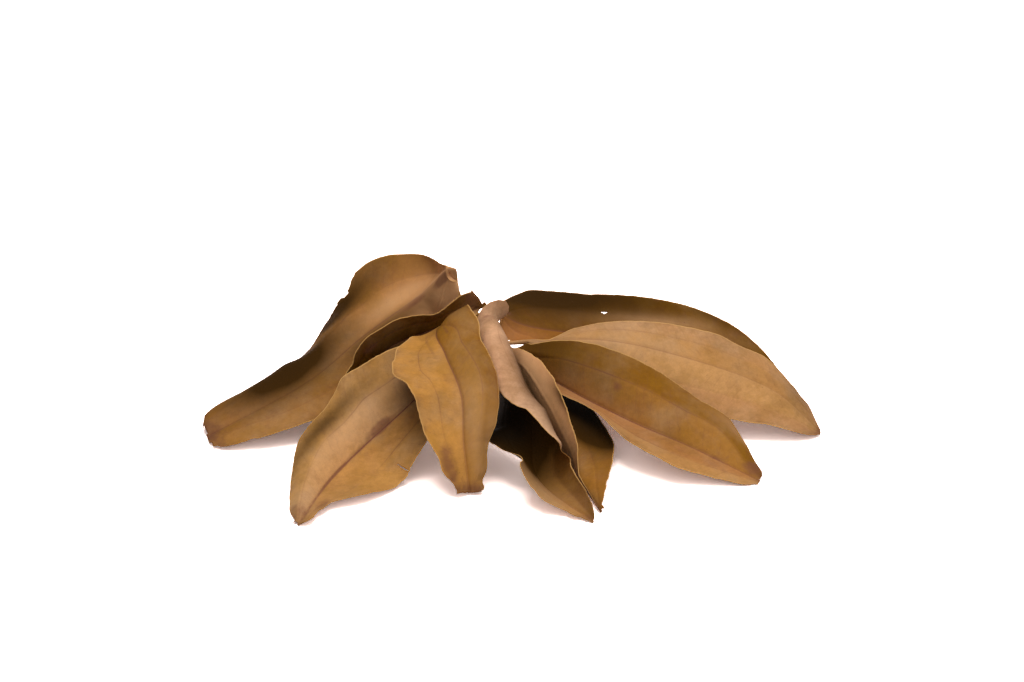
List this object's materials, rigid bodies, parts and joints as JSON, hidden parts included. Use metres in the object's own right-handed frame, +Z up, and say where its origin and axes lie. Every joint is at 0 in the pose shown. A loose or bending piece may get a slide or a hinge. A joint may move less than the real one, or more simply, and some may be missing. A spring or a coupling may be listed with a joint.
{
  "type": "sprig of dried leaves",
  "caption": "Sprig of curled, brittle dried cinnamon leaves held together at the top by a short twig, lying on its leaf tips.",
  "frame": {"origin": "on the table, at the middle of the sprig's footprint", "axes": "+Z up from the table, +X along the sprig's longest spread, towards the single long leaf on its right, -Y towards the leaves at the front"},
  "size_m": [0.2351, 0.13, 0.0569],
  "materials": {
    "bark": "dull, wrinkled dark brown bark",
    "dry_leaf_tan": "dry, faintly waxy tan leaf with fine veins",
    "dry_leaf_brown": "dry, faintly waxy brown leaf with fine veins"
  },
  "bodies": {
    "root": {"twig": "bark", "leaf_front": "dry_leaf_tan", "leaf_front_left": "dry_leaf_tan", "leaf_rolled": "dry_leaf_tan", "leaf_doubled": "dry_leaf_brown", "leaf_front_right": "dry_leaf_brown", "leaf_right": "dry_leaf_tan", "leaf_back_right": "dry_leaf_brown", "leaf_folded": "dry_leaf_brown", "leaf_back_left": "dry_leaf_tan"}
  },
  "joints": []
}
